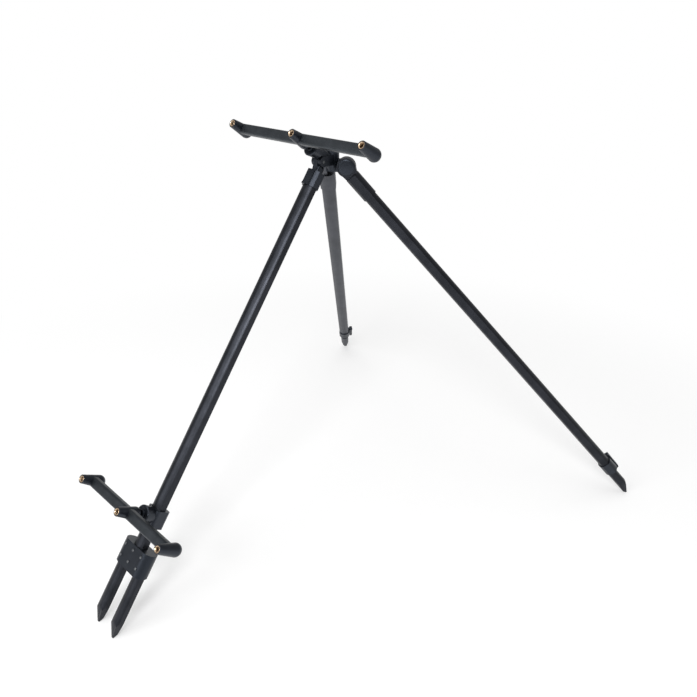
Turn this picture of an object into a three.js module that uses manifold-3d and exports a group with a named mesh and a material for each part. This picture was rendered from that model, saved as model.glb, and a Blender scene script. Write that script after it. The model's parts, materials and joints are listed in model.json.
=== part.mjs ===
// Surf rod tripod: a long leg with a twin spike foot and two hinged legs
// under one head, with a three-rod bar on the head and a second bar low on
// the long leg. Millimetres, Z up, ground at Z = 0. The long leg runs
// towards -X and both bars lie along Y.
import * as THREE from 'three';
import { mergeVertices } from 'three/addons/utils/BufferGeometryUtils.js';
import Module from 'manifold-3d';

const wasm = await Module();
wasm.setup();

// Shares and counts
const roundSteps = 28;
const smallRoundSteps = 16;
const arcSteps = 8;
const latheEndSteps = 6;

// General clearances and cutting
const gap = 0.3;
const overrun = 1;
const weldDistance = 0.0001;

// Leg tube sections: flat sides, bowed top and bottom
const longTube = { width: 26, depth: 23.5, flat: 12.8, wall: 1.5 };
const sideTube = { width: 27.8, depth: 24.8, flat: 13.2, wall: 1.5 };
const twinSpike = { width: 21.7, depth: 19.5, flat: 10.5 };
const tubeRunningGap = 0.5;

// Head block and hinge places, measured from the post centre and from the
// height of the long leg's pivot
const postRadius = 14;
const postFootRadius = 8.5;
const postEdge = 2.5;
const postTaper = 12;
const postTop = 18.5;
const postBottom = 21.5;
const longPivotBack = 33.7;
const sidePivotForward = 12;
const sidePivotSide = 27.5;
const sidePivotDrop = 12;

// Long leg
const longLegTilt = THREE.MathUtils.degToRad(52.1);
const longLegLength = 960;
const longPivotRise = 6;
const longTongueWidth = 10;
const longEyeRadius = 9.5;
const longCheekThickness = 6.7;
const longPinRadius = 3;
const foldRoom = 5;
const neckWidth = 18;
const neckDepth = 18;
const longSleeveTop = 21;
const longSleeveLength = 31;
const sleeveWall = 2.1;
const sleeveRibWidth = 16;
const sleeveRibFoot = 3;
const sleeveRibHeight = 2.2;
const sleeveRibLip = 1;
const sleeveRibLipHeight = 3;

// Side legs
const rightAzimuth = THREE.MathUtils.degToRad(-51);
const rearAzimuth = THREE.MathUtils.degToRad(40.5);
const sideLegLength = 1007.7;
const sidePivotRise = 4.7;
const discRadius = 18.2;
const cheekOuter = 16;
const cheekInner = 1.5;
const sideTongueWidth = 10.7;
const sideEyeRadius = 12;
const sidePinRadius = 4;
const sidePinInset = 2;
const sideSocketTop = 21;
const sideSocketEnd = 73;
const sideSocketWall = 1.6;
const shoulderWidth = 11;
const shoulderBase = 24;
const shoulderCrown = 4;
const shoulderInset = 3.2;
const capRadius = 15.5;
const capRise = 2.4;
const capRecess = 1.6;

// Tube seats and telescoping pieces
const seatWall = 4;
const bushHeight = 16;
const bushLip = 3;
const stowedMargin = 60;
const stowedTail = 90;

// Side leg foot
const sideTubeEnd = 100;
const clampTop = 108;
const clampEnd = 78;
const clampSection = { width: 30.4, depth: 30.2, flat: 15 };
const rearFootOut = 10;
const sideSpike = { width: 22.5, depth: 21.6, flat: 11.5 };
const sideSpikeLevel = -1.9;
const sideSpikeShoulder = 76;
const spikePlug = 30;

// Chisel points
const chiselLength = 34;
const underCutLength = 9;
const tipThickness = 1.6;
const tipHalfWidth = 2.4;
const tipDrop = 8.5;

// Clamp levers
const leverWidth = 15;
const leverRise = 8.5;
const leverBarrel = 5.5;
const leverThickness = 9;
const leverCorner = 4;
const leverPin = 2;
const leverLength = 43;
const leverPivotInset = 4.5;
const lugWidth = 5.6;

// Bar clamp and spike block on the long leg
const barClampTop = 246;
const barClampEnd = 211;
const barClampWidth = 34;
const barClampDepth = 30.4;
const barClampLevel = -1.6;
const barClampCorner = 6.5;
const blockTop = 169.5;
const blockEnd = 121.5;
const blockWidth = 81.6;
const blockDepth = 31.4;
const blockLevel = -2.5;
const blockEdge = 2.5;
const blockTubeSeat = 30;
const blockSpikeSeat = 38;
const spikeInset = 14.7;
const spikeSide = blockWidth / 2 - spikeInset;
const spikeLevel = -3.2;
const screwRows = [137.5, 160];
const screwHeadRadius = 2.6;
const screwHeadHeight = 1.2;
const screwShankRadius = 1.5;
const screwShankLength = 4;

// Rod bars: bosses, inserts, tubes
const bossLength = 50;
const bossFrontRadius = 8.3;
const bossBackRadius = 12.2;
const barTall = 19.4;
const barDeep = 14;
const barCorner = 4;
const barWall = 1.5;
const barPlugInset = 3.5;
const insertRadius = 6.2;
const insertLength = 14;
const insertProud = 0.5;
const insertBore = 4.6;
const insertBoreDepth = 12;
const insertToBar = 4;
const barLevel = bossLength - insertLength - insertToBar - barDeep / 2;
const boltRadius = 4;
const boltGrip = 16;
const barNeckRadius = 8;
const barNeckLength = 5;
const drumRadius = 17;
const drumBackRadius = 14;
const drumEdge = 1.5;
const drumBoltDepth = 7;
const frontDrumLength = 22;
const frontBarSpacing = 168.1;
const frontBarElevation = THREE.MathUtils.degToRad(31.9);
const frontMountOut = 46.5;
const frontMountUp = 9.5;
const rearBarSpacing = 129.3;
const rearBarPlace = 231.6;
const rearMountOut = 37.4;
const frontArmWidth = 19;
const frontArmDepth = 17;
const frontArmLength = 34;

// Finishes
const anodised = { color: 0x34373a, roughness: 0.42, metalness: 0.55 };
const paleAnodised = { color: 0x55595e, roughness: 0.45, metalness: 0.5 };
const moulded = { color: 0x232527, roughness: 0.6, metalness: 0 };
const brass = { color: 0xc9a25a, roughness: 0.35, metalness: 1 };
const steel = { color: 0x8d9093, roughness: 0.4, metalness: 1 };

function solid(geometry) {
  const bare = new THREE.BufferGeometry();
  bare.setAttribute('position', geometry.getAttribute('position').clone());
  if (geometry.index) bare.setIndex(geometry.index.clone());
  const welded = mergeVertices(bare, weldDistance);
  return new wasm.Manifold(new wasm.Mesh({
    numProp: 3,
    vertProperties: new Float32Array(welded.getAttribute('position').array),
    triVerts: new Uint32Array(welded.index.array),
  }));
}

function geometryOf(manifold) {
  const mesh = manifold.getMesh();
  const geometry = new THREE.BufferGeometry();
  geometry.setAttribute('position', new THREE.BufferAttribute(mesh.vertProperties, mesh.numProp));
  geometry.setIndex(new THREE.BufferAttribute(mesh.triVerts, 1));
  geometry.computeVertexNormals();
  return geometry;
}

function addPiece(parent, name, manifold, finish) {
  const mesh = new THREE.Mesh(geometryOf(manifold), new THREE.MeshStandardMaterial(finish));
  mesh.name = name;
  parent.add(mesh);
  return mesh;
}

// Shapes in a plane
function barrelShape(section) {
  const { width, depth, flat } = section;
  const half = width / 2;
  const rise = (depth - flat) / 2;
  const radius = (half * half + rise * rise) / (2 * rise);
  const centre = depth / 2 - radius;
  const sweep = Math.asin(half / radius);
  const points = [];
  for (const side of [1, -1]) {
    for (let step = 0; step <= arcSteps; step += 1) {
      const angle = sweep * (1 - (2 * step) / arcSteps);
      points.push(new THREE.Vector2(
        side * radius * Math.sin(angle),
        side * (centre + radius * Math.cos(angle)),
      ));
    }
  }
  return new THREE.Shape(points);
}

function roundedRectShape(width, height, corner) {
  const shape = new THREE.Shape();
  const x = width / 2;
  const y = height / 2;
  shape.moveTo(x, corner - y);
  shape.lineTo(x, y - corner);
  shape.absarc(x - corner, y - corner, corner, 0, Math.PI / 2);
  shape.lineTo(corner - x, y);
  shape.absarc(corner - x, y - corner, corner, Math.PI / 2, Math.PI);
  shape.lineTo(-x, corner - y);
  shape.absarc(corner - x, corner - y, corner, Math.PI, 1.5 * Math.PI);
  shape.lineTo(x - corner, -y);
  shape.absarc(x - corner, corner - y, corner, 1.5 * Math.PI, 2 * Math.PI);
  return shape;
}

function polygonShape(places) {
  return new THREE.Shape(places.map(([x, y]) => new THREE.Vector2(x, y)));
}

// Solids from shapes
function extrude(shape, bottom, top) {
  const geometry = new THREE.ExtrudeGeometry(shape, {
    depth: top - bottom,
    bevelEnabled: false,
    curveSegments: arcSteps,
  });
  geometry.translate(0, 0, bottom);
  return solid(geometry);
}

// A shape drawn in Y and Z, extruded along X
function extrudeAlongX(shape, from, to) {
  const geometry = new THREE.ExtrudeGeometry(shape, {
    depth: to - from,
    bevelEnabled: false,
    curveSegments: arcSteps,
  });
  geometry.translate(0, 0, from);
  geometry.applyMatrix4(new THREE.Matrix4().makeBasis(
    new THREE.Vector3(0, 1, 0),
    new THREE.Vector3(0, 0, 1),
    new THREE.Vector3(1, 0, 0),
  ));
  return solid(geometry);
}

// A shape drawn in X and Z, extruded along Y
function extrudeAlongY(shape, from, to) {
  const geometry = new THREE.ExtrudeGeometry(shape, {
    depth: to - from,
    bevelEnabled: false,
    curveSegments: arcSteps,
  });
  geometry.translate(0, 0, -to);
  geometry.applyMatrix4(new THREE.Matrix4().makeBasis(
    new THREE.Vector3(1, 0, 0),
    new THREE.Vector3(0, 0, 1),
    new THREE.Vector3(0, -1, 0),
  ));
  return solid(geometry);
}

// A round solid about Z through the given radius and height pairs
function turned(profile, steps) {
  const geometry = new THREE.LatheGeometry(
    profile.map(([radius, height]) => new THREE.Vector2(radius, height)),
    steps,
  );
  geometry.rotateX(Math.PI / 2);
  return solid(geometry);
}

function rod(radius, bottom, top, steps = roundSteps) {
  return turned([[0, bottom], [radius, bottom], [radius, top], [0, top]], steps);
}

function rodAlongX(radius, from, to, steps = roundSteps) {
  return rod(radius, from, to, steps).rotate([0, 90, 0]);
}

function rodAlongY(radius, from, to, steps = roundSteps) {
  return rod(radius, -to, -from, steps).rotate([90, 0, 0]);
}

function shrunk(section, inset) {
  return {
    width: section.width - 2 * inset,
    depth: section.depth - 2 * inset,
    flat: section.flat - inset,
  };
}

function barrel(section, bottom, top) {
  return extrude(barrelShape(section), bottom, top);
}

// Sections that fit each other
const sideBore = shrunk(sideTube, sideTube.wall);
const innerTube = shrunk(sideBore, tubeRunningGap);
const innerBore = shrunk(innerTube, sideTube.wall);
const innerHole = shrunk(innerTube, -gap);
const sideHole = shrunk(sideTube, -gap);
const longHole = shrunk(longTube, -gap);
const twinSpikeHole = shrunk(twinSpike, -gap);
const bushSection = shrunk(sideBore, gap);
const plugSection = shrunk(innerBore, gap);

// Frame of a leg: X across it, Y outward from it, Z up along it
function legFrame(azimuth, tilt) {
  const outward = new THREE.Vector3(
    Math.sin(tilt) * Math.cos(azimuth),
    Math.sin(tilt) * Math.sin(azimuth),
    Math.cos(tilt),
  );
  const across = new THREE.Vector3(Math.sin(azimuth), -Math.cos(azimuth), 0);
  const along = new THREE.Vector3().crossVectors(across, outward);
  return new THREE.Matrix4().makeBasis(across, outward, along);
}

function placeGroup(group, frame, place) {
  group.quaternion.setFromRotationMatrix(frame);
  group.position.copy(place);
  return group;
}

// Height of a pivot whose leg's point touches the ground
function pivotHeight(length, tilt, offset) {
  return length * Math.sin(tilt) + offset * Math.cos(tilt);
}

// Tilt of a leg whose pivot height is known
function tiltFor(height, length, offset) {
  return Math.asin(height / Math.hypot(length, offset)) - Math.atan2(offset, length);
}

// Pointed end whose lower edge is at the given level: a long slope above it,
// a short one below and one on each side
function chisel(body, section, tip) {
  const half = section.depth / 2;
  const edge = tip + tipThickness;
  const over = half + overrun;
  const climb = chiselLength * ((over - edge) / (half - edge));
  const topCut = extrudeAlongX(
    polygonShape([[edge, 0], [edge, -overrun], [over, -overrun], [over, climb]]),
    -section.width,
    section.width,
  );
  const underClimb = underCutLength * ((over + tip) / (half + tip));
  const underCut = extrudeAlongX(
    polygonShape([[tip, 0], [tip, -overrun], [-over, -overrun], [-over, underClimb]]),
    -section.width,
    section.width,
  );
  const side = section.width / 2;
  const wide = side + overrun;
  const sideClimb = chiselLength * ((wide - tipHalfWidth) / (side - tipHalfWidth));
  const sideCut = extrudeAlongY(
    polygonShape([[tipHalfWidth, 0], [tipHalfWidth, -overrun], [wide, -overrun], [wide, sideClimb]]),
    -section.depth,
    section.depth,
  );
  const slopes = topCut.add(underCut).add(sideCut).add(sideCut.mirror([1, 0, 0]));
  return body.subtract(slopes);
}

function tubeSolid(section, bore, bottom, top) {
  return barrel(section, bottom, top).subtract(barrel(bore, bottom - overrun, top + overrun));
}

function bushSolid(top) {
  const head = barrel(bushSection, top + gap, top + gap + bushHeight);
  const plug = barrel(plugSection, top - bushHeight, top + gap + bushLip);
  return head.add(plug);
}

// Lever drawn in X and Z with its pivot at the origin, hanging down, open at
// the top for the collar's lug
function leverSolid() {
  const outer = leverThickness - leverBarrel;
  const shape = new THREE.Shape();
  shape.absarc(0, 0, leverBarrel, Math.PI / 4, Math.PI);
  shape.lineTo(-leverBarrel, -leverLength);
  shape.lineTo(outer - leverCorner, -leverLength);
  shape.absarc(outer - leverCorner, leverCorner - leverLength, leverCorner, 1.5 * Math.PI, 2 * Math.PI);
  shape.lineTo(outer, -leverBarrel);
  const half = leverWidth / 2;
  const open = leverBarrel + 2 * gap;
  const notchHalf = lugWidth / 2 + gap;
  const notch = polygonShape([[-open, -open], [open, -open], [open, open], [-open, open]]);
  return extrudeAlongY(shape, -half, half)
    .subtract(extrudeAlongY(notch, -notchHalf, notchHalf))
    .subtract(rodAlongY(leverPin + gap, -leverWidth, leverWidth, smallRoundSteps));
}

// Lug on the collar that carries the lever's pin, reaching in by the given depth
function lugSolid(reach) {
  const shape = new THREE.Shape();
  shape.absarc(0, 0, leverBarrel, -Math.PI / 2, Math.PI / 2);
  shape.lineTo(-reach, leverBarrel);
  shape.lineTo(-reach, -leverBarrel);
  const half = lugWidth / 2;
  return extrudeAlongY(shape, -half, half)
    .subtract(rodAlongY(leverPin + gap, -leverWidth, leverWidth, smallRoundSteps));
}

function leverPinSolid() {
  const half = leverWidth / 2 - gap;
  return rodAlongY(leverPin, -half, half, smallRoundSteps);
}

// Side leg, turned so that its pivot is the origin. Its pieces are drawn with
// the outer side at +X and mirrored for the leg whose outer side is -X.
function addSideLeg(parent, name, azimuth, pivot) {
  const tilt = tiltFor(pivot.z, sideLegLength, sidePivotRise + tipDrop);
  const leg = placeGroup(new THREE.Group(), legFrame(azimuth, tilt), pivot);
  parent.add(leg);
  const axis = new THREE.Group();
  axis.position.set(0, -sidePivotRise, -sideLegLength);
  leg.add(axis);
  const finish = name === 'rear' ? paleAnodised : anodised;
  const sided = (piece) => (name === 'rear' ? piece.mirror([1, 0, 0]) : piece);

  const socketSection = shrunk(sideTube, -sideSocketWall - gap);
  const socketDepth = socketSection.depth / 2;
  const tubeTop = -sideSocketTop - seatWall;
  const shoulder = polygonShape([
    [shoulderInset - socketDepth - sidePivotRise, -shoulderBase],
    [socketDepth - shoulderInset - sidePivotRise, -shoulderBase],
    [discRadius * Math.cos(Math.PI / 4), -discRadius * Math.sin(Math.PI / 4)],
    [0, 0],
    [gap - discRadius, -shoulderCrown],
  ]);
  const sleeve = barrel(socketSection, -sideSocketEnd, -sideSocketTop)
    .subtract(barrel(sideHole, -sideSocketEnd - overrun, tubeTop));
  const recess = rodAlongX(capRadius + gap, cheekOuter - capRecess, cheekOuter + overrun);
  const socket = rodAlongX(discRadius, -cheekInner, cheekOuter)
    .add(extrudeAlongX(shoulder, -cheekInner, shoulderWidth))
    .add(sleeve.translate([0, -sidePivotRise, 0]))
    .subtract(rodAlongX(sidePinRadius + gap, -cheekOuter, cheekOuter))
    .subtract(recess);
  addPiece(leg, `${name}_leg_socket`, sided(socket), finish);

  const capProfile = [[0, gap], [capRadius, gap], [capRadius, capRecess]];
  for (let step = 1; step <= latheEndSteps; step += 1) {
    const angle = (Math.PI / 2) * (step / latheEndSteps);
    capProfile.push([
      step === latheEndSteps ? 0 : capRadius * Math.cos(angle),
      capRecess + capRise * Math.sin(angle),
    ]);
  }
  const cap = turned(capProfile, roundSteps).rotate([0, 90, 0]);
  addPiece(leg, `${name}_hinge_cap`, sided(cap.translate([cheekOuter - capRecess, 0, 0])), moulded);

  const footOut = name === 'rear' ? rearFootOut : 0;
  addPiece(axis, `${name}_leg_outer_tube`, tubeSolid(
    sideTube,
    sideBore,
    sideTubeEnd + footOut + gap,
    sideLegLength + tubeTop - gap,
  ), finish);

  const innerTop = sideLegLength - stowedMargin - stowedTail;
  addPiece(axis, `${name}_leg_inner_tube`, tubeSolid(
    innerTube,
    innerBore,
    sideSpikeShoulder + gap,
    innerTop,
  ), finish);
  addPiece(axis, `${name}_leg_bush`, bushSolid(innerTop), moulded);

  const spike = chisel(barrel(sideSpike, 0, sideSpikeShoulder), sideSpike, -tipDrop - sideSpikeLevel);
  const plug = barrel(plugSection, sideSpikeShoulder - overrun, sideSpikeShoulder + spikePlug);
  addPiece(axis, `${name}_leg_spike`, spike.translate([0, sideSpikeLevel, 0]).add(plug), finish);

  const pivotOut = clampSection.width / 2 + gap + leverBarrel;
  const atFoot = (piece) => piece.translate([0, 0, footOut]);
  const hang = (piece) => sided(piece
    .rotate([0, 0, 180])
    .translate([-pivotOut, leverRise, clampTop - leverPivotInset]));
  const collar = barrel(clampSection, clampEnd, clampTop)
    .add(hang(lugSolid(leverBarrel + clampSection.width / 3)))
    .subtract(barrel(innerHole, clampEnd - overrun, sideTubeEnd + overrun))
    .subtract(barrel(sideHole, sideTubeEnd, clampTop + overrun));
  addPiece(axis, `${name}_leg_clamp`, atFoot(collar), moulded);
  addPiece(axis, `${name}_leg_lever`, atFoot(hang(leverSolid())), moulded);
  addPiece(axis, `${name}_leg_lever_pin`, atFoot(hang(leverPinSolid())), steel);
}

// Rod bar: X along the bar, Z out through the inserts, back of the bosses at Z = 0
function bossSolid() {
  const profile = [[0, 0]];
  for (let step = 1; step <= latheEndSteps; step += 1) {
    const angle = (Math.PI / 2) * (step / latheEndSteps);
    profile.push([bossBackRadius * Math.sin(angle), bossBackRadius * (1 - Math.cos(angle))]);
  }
  profile.push([bossFrontRadius, bossLength]);
  profile.push([0, bossLength]);
  const seat = rod(insertRadius + gap, bossLength - insertLength - gap, bossLength + overrun);
  return turned(profile, roundSteps).subtract(seat);
}

function barSection(inset) {
  return roundedRectShape(barDeep - 2 * inset, barTall - 2 * inset, barCorner - inset);
}

function barLength(shape, from, to) {
  const geometry = new THREE.ExtrudeGeometry(shape, {
    depth: to - from,
    bevelEnabled: false,
    curveSegments: arcSteps,
  });
  geometry.translate(0, 0, from);
  geometry.applyMatrix4(new THREE.Matrix4().makeBasis(
    new THREE.Vector3(0, 0, 1),
    new THREE.Vector3(0, -1, 0),
    new THREE.Vector3(1, 0, 0),
  ));
  geometry.translate(0, 0, barLevel);
  return solid(geometry);
}

function insertSolid() {
  const bottom = bossLength - insertLength;
  const top = bossLength + insertProud;
  const bore = rod(insertBore, top - insertBoreDepth, top + overrun, smallRoundSteps);
  return rod(insertRadius, bottom, top).subtract(bore);
}

function addBar(bar, name, spacing) {
  const places = { left: spacing, middle: 0, right: -spacing };
  const boltHole = boltHoleSolid();
  const barHole = barLength(barSection(-gap), barPlugInset - gap, bossBackRadius + overrun);
  for (const [side, place] of Object.entries(places)) {
    let boss = bossSolid();
    if (side !== 'left') boss = boss.subtract(barHole);
    if (side !== 'right') boss = boss.subtract(barHole.mirror([1, 0, 0]));
    if (side === 'middle') boss = boss.subtract(boltHole);
    addPiece(bar, `${name}_bar_boss_${side}`, boss.translate([place, 0, 0]), moulded);
    addPiece(bar, `${name}_bar_insert_${side}`, insertSolid().translate([place, 0, 0]), brass);
  }
  const tube = barLength(barSection(0), barPlugInset, spacing - barPlugInset)
    .subtract(barLength(barSection(barWall), barPlugInset - overrun, spacing));
  addPiece(bar, `${name}_bar_tube_left`, tube, anodised);
  addPiece(bar, `${name}_bar_tube_right`, tube.mirror([1, 0, 0]), anodised);
  addBarMount(bar, name);
}

// Round drum that carries the bar's neck, its face just behind the neck
function drumSolid(length) {
  const face = -barNeckLength - gap;
  return turned([
    [0, face - length],
    [drumBackRadius, face - length],
    [drumRadius, face - drumEdge],
    [drumRadius - drumEdge, face],
    [0, face],
  ], roundSteps);
}

function boltHoleSolid() {
  const foot = -barNeckLength - gap - drumBoltDepth;
  return rod(boltRadius + gap, foot - gap, boltGrip + gap, smallRoundSteps);
}

function addBarMount(bar, name) {
  const neck = rod(barNeckRadius, -barNeckLength, -gap).subtract(boltHoleSolid());
  addPiece(bar, `${name}_bar_neck`, neck, moulded);
  const foot = -barNeckLength - gap - drumBoltDepth;
  addPiece(bar, `${name}_bar_bolt`, rod(boltRadius, foot, boltGrip, smallRoundSteps), steel);
}

// Long leg, turned so that its pivot is the origin
function addLongLeg(parent, pivot) {
  const leg = placeGroup(new THREE.Group(), legFrame(Math.PI, longLegTilt), pivot);
  parent.add(leg);
  const axis = new THREE.Group();
  axis.position.set(0, -longPivotRise, -longLegLength);
  leg.add(axis);

  const sleeveSection = shrunk(longTube, -sleeveWall - gap);
  const sleeveEnd = longSleeveTop + longSleeveLength;
  const tongue = polygonShape([
    [-longEyeRadius, 0],
    [-neckDepth / 2 - longPivotRise, -longEyeRadius],
    [-neckDepth / 2 - longPivotRise, -longSleeveTop - overrun],
    [neckDepth / 2 - longPivotRise, -longSleeveTop - overrun],
    [longEyeRadius, 0],
  ]);
  const neck = extrude(
    roundedRectShape(neckWidth, neckDepth, neckWidth / 4),
    -longSleeveTop - overrun,
    -longEyeRadius - gap - overrun,
  );
  const ribFoot = sleeveSection.depth / 2 - sleeveRibFoot;
  const ribFace = sleeveSection.depth / 2 + sleeveRibHeight;
  const rib = polygonShape([
    [ribFoot, -longSleeveTop],
    [ribFoot, -sleeveEnd],
    [ribFace + sleeveRibLip, -sleeveEnd],
    [ribFace + sleeveRibLip, sleeveRibLipHeight - sleeveEnd],
    [ribFace, sleeveRibLipHeight + sleeveRibLip - sleeveEnd],
    [ribFace, -longSleeveTop],
  ]);
  const sleeve = barrel(sleeveSection, -sleeveEnd, -longSleeveTop)
    .add(extrudeAlongX(rib, -sleeveRibWidth / 2, sleeveRibWidth / 2))
    .add(neck)
    .subtract(barrel(longHole, -sleeveEnd - overrun, -longSleeveTop - seatWall));
  const socket = rodAlongX(longEyeRadius, -longTongueWidth / 2, longTongueWidth / 2)
    .add(extrudeAlongX(tongue, -longTongueWidth / 2, longTongueWidth / 2))
    .add(sleeve.translate([0, -longPivotRise, 0]))
    .subtract(rodAlongX(longPinRadius + gap, -cheekOuter, cheekOuter, smallRoundSteps));
  addPiece(leg, 'long_leg_socket', socket, moulded);

  const tubeFoot = blockTop - blockTubeSeat + gap;
  const tubeTop = longLegLength - longSleeveTop - seatWall - gap;
  const screwBore = rodAlongY(screwShankRadius + gap, 0, longTube.depth, smallRoundSteps);
  const tube = tubeSolid(longTube, shrunk(longTube, longTube.wall), tubeFoot, tubeTop)
    .subtract(screwBore.translate([0, 0, screwRows[1]]));
  addPiece(axis, 'long_leg_tube', tube, anodised);

  const onAxis = (piece) => piece.rotate([-90, 0, 0]).translate([0, rearMountOut, rearBarPlace]);
  const outline = roundedRectShape(barClampWidth, barClampDepth, barClampCorner);
  const collar = extrude(outline, barClampEnd, barClampTop)
    .translate([0, barClampLevel, 0])
    .add(onAxis(drumSolid(rearMountOut - barNeckLength - gap)))
    .subtract(barrel(longHole, barClampEnd - drumRadius, barClampTop + drumRadius))
    .subtract(onAxis(boltHoleSolid()));
  addPiece(axis, 'rear_bar_clamp', collar, moulded);

  const bar = new THREE.Group();
  bar.rotation.x = -Math.PI / 2;
  bar.position.set(0, rearMountOut, rearBarPlace);
  axis.add(bar);
  addBar(bar, 'rear', rearBarSpacing);

  addSpikeBlock(axis);
}

// Rounded block that holds the leg's tube above and two spikes below
function addSpikeBlock(axis) {
  const end = blockDepth / 2;
  const outline = roundedRectShape(blockWidth, blockDepth, end - weldDistance);
  const footOutline = roundedRectShape(
    blockWidth - 2 * blockEdge,
    blockDepth - 2 * blockEdge,
    end - blockEdge,
  );
  const spikeTop = blockEnd + blockSpikeSeat;
  const seat = barrel(twinSpikeHole, blockEnd - overrun, spikeTop);
  let block = extrude(outline, blockEnd + blockEdge, blockTop)
    .add(extrude(footOutline, blockEnd, blockTop))
    .translate([0, blockLevel, 0])
    .subtract(barrel(longHole, blockTop - blockTubeSeat, blockTop + overrun));
  const spike = chisel(barrel(twinSpike, 0, spikeTop - gap), twinSpike, -tipDrop - spikeLevel);
  for (const side of [-1, 1]) {
    const place = [side * spikeSide, spikeLevel, 0];
    block = block.subtract(seat.translate(place));
    addPiece(axis, `twin_spike_${side > 0 ? 'left' : 'right'}`, spike.translate(place), anodised);
  }
  const face = blockLevel + blockDepth / 2;
  const foot = face - screwShankLength;
  const hole = rodAlongY(screwShankRadius + gap, foot - gap, face + overrun, smallRoundSteps);
  const screw = rodAlongY(screwShankRadius, foot, face + gap, smallRoundSteps)
    .add(rodAlongY(screwHeadRadius, face + gap, face + gap + screwHeadHeight, smallRoundSteps));
  let count = 0;
  for (const row of screwRows) {
    for (const column of [-spikeSide, 0, spikeSide]) {
      count += 1;
      block = block.subtract(hole.translate([column, 0, row]));
      addPiece(axis, `block_screw_${count}`, screw.translate([column, 0, row]), steel);
    }
  }
  addPiece(axis, 'spike_block', block, moulded);
}

// Head: post, hinge tongues for the side legs, fork for the long leg, neck for the bar
function addHead(parent, height, pivots) {
  const head = new THREE.Group();
  parent.add(head);
  let body = turned([
    [0, -postBottom],
    [postFootRadius, -postBottom],
    [postRadius, postTaper - postBottom],
    [postRadius, postTop - postEdge],
    [postRadius - postEdge, postTop],
    [0, postTop],
  ], roundSteps).translate([0, 0, height]);
  const longPivot = pivots.long;
  const elevation = frontBarElevation;
  const out = new THREE.Vector3(-Math.cos(elevation), 0, Math.sin(elevation));
  const mount = frontMountPlace(longPivot);
  const neckTurn = THREE.MathUtils.radToDeg(elevation) - 90;
  const place = (piece) => piece.rotate([0, neckTurn, 0]).translate(mount.toArray());
  const armTop = drumEdge - barNeckLength - frontDrumLength;
  const arm = extrude(
    roundedRectShape(frontArmDepth, frontArmWidth, frontArmDepth / 4),
    armTop - frontArmLength,
    armTop,
  );
  body = body.add(place(arm)).add(place(drumSolid(frontDrumLength)));

  const forkHalf = longTongueWidth / 2 + gap;
  const cheekHalf = forkHalf + longCheekThickness;
  const fork = new THREE.Shape();
  fork.absarc(0, 0, longEyeRadius, Math.PI / 2, 1.5 * Math.PI);
  fork.lineTo(longPivotBack, -longEyeRadius);
  fork.lineTo(longPivotBack, longEyeRadius);
  const cheeks = extrudeAlongY(fork, -cheekHalf, cheekHalf).translate(longPivot.toArray());
  body = body.add(cheeks);
  const slotReach = longEyeRadius + 2 * overrun;
  const slot = rodAlongY(slotReach, -forkHalf, forkHalf).translate(longPivot.toArray());
  const mouth = extrudeAlongY(
    polygonShape([
      [-slotReach, 0],
      [-slotReach, -slotReach],
      [slotReach + foldRoom, -slotReach],
      [slotReach, 0],
    ]),
    -forkHalf,
    forkHalf,
  ).translate(longPivot.toArray());
  body = body.subtract(slot).subtract(mouth);
  const pinHole = rodAlongY(longPinRadius + gap, -cheekOuter, cheekOuter, smallRoundSteps);
  body = body.subtract(pinHole.translate(longPivot.toArray()));
  addPiece(head, 'long_hinge_pin', rodAlongY(longPinRadius, -cheekHalf, cheekHalf, smallRoundSteps)
    .translate(longPivot.toArray()), steel);

  for (const [name, azimuth] of [['right', rightAzimuth], ['rear', rearAzimuth]]) {
    const pivot = pivots[name];
    const reach = Math.hypot(pivot.x, pivot.y);
    const outline = new THREE.Shape();
    outline.absarc(0, 0, sideEyeRadius, -Math.PI / 2, Math.PI / 2);
    outline.lineTo(-reach, sideEyeRadius);
    outline.lineTo(-reach, -sideEyeRadius);
    const near = cheekInner + gap;
    const far = near + sideTongueWidth;
    const turn = THREE.MathUtils.radToDeg(azimuth);
    const sided = (piece) => (name === 'rear' ? piece.mirror([0, 1, 0]) : piece)
      .rotate([0, 0, turn])
      .translate(pivot.toArray());
    const room = rodAlongY(discRadius + overrun, -cheekOuter - overrun, near);
    const pinBore = rodAlongY(sidePinRadius + gap, -cheekOuter, far + overrun, smallRoundSteps);
    body = body
      .subtract(sided(room))
      .add(sided(extrudeAlongY(outline, near, far)))
      .subtract(sided(pinBore));
    const pin = rodAlongY(sidePinRadius, capRecess + gap - cheekOuter, far - sidePinInset, smallRoundSteps);
    addPiece(head, `${name}_hinge_pin`, sided(pin), steel);
  }
  body = body.subtract(place(boltHoleSolid()));
  addPiece(head, 'head_body', body, moulded);

  const bar = new THREE.Group();
  const across = new THREE.Vector3(0, 1, 0);
  const down = new THREE.Vector3().crossVectors(out, across);
  placeGroup(bar, new THREE.Matrix4().makeBasis(across, down, out), mount);
  head.add(bar);
  addBar(bar, 'front', frontBarSpacing);
  return head;
}

// Back of the front bar's middle boss, out from and up along the long leg
function frontMountPlace(longPivot) {
  const tilt = longLegTilt;
  const outward = new THREE.Vector3(-Math.sin(tilt), 0, Math.cos(tilt));
  const along = new THREE.Vector3(Math.cos(tilt), 0, Math.sin(tilt));
  return longPivot.clone()
    .addScaledVector(outward, frontMountOut - longPivotRise)
    .addScaledVector(along, frontMountUp);
}

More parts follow.
